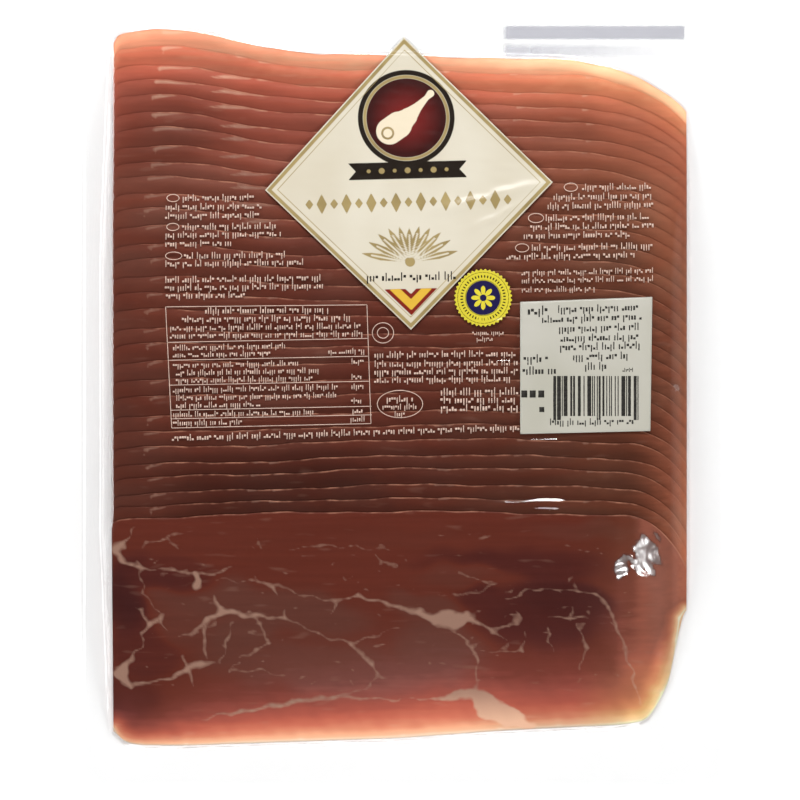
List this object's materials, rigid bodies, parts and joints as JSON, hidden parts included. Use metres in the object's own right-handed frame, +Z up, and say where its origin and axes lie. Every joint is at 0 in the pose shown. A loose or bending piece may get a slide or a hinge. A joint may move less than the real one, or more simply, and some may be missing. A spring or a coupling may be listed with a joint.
{
  "type": "serrano ham pack",
  "caption": "Sealed clear pack of shingled cured ham slices lying flat, with a diamond label, a round badge and a price sticker on its upper film.",
  "frame": {"origin": "middle of the pack's underside", "axes": "+Y up the print along the pack's long side, +X to the right of the print, +Z up out of the printed side"},
  "size_m": [0.252, 0.306, 0.0144],
  "materials": {
    "clear_film": "clear glossy film over dark red ham",
    "printed_label": "glossy off-white print with gold edge",
    "printed_badge": "glossy yellow and dark blue print",
    "sticker_paper": "satin coated paper",
    "cured_ham": "moist dark red cured ham with pale fat seams",
    "film_print": "thin pale ink on clear film"
  },
  "bodies": {
    "root": {"sealed_pack": "clear_film", "diamond_label": "printed_label", "round_badge": "printed_badge", "price_sticker": "sticker_paper"}
  },
  "joints": []
}
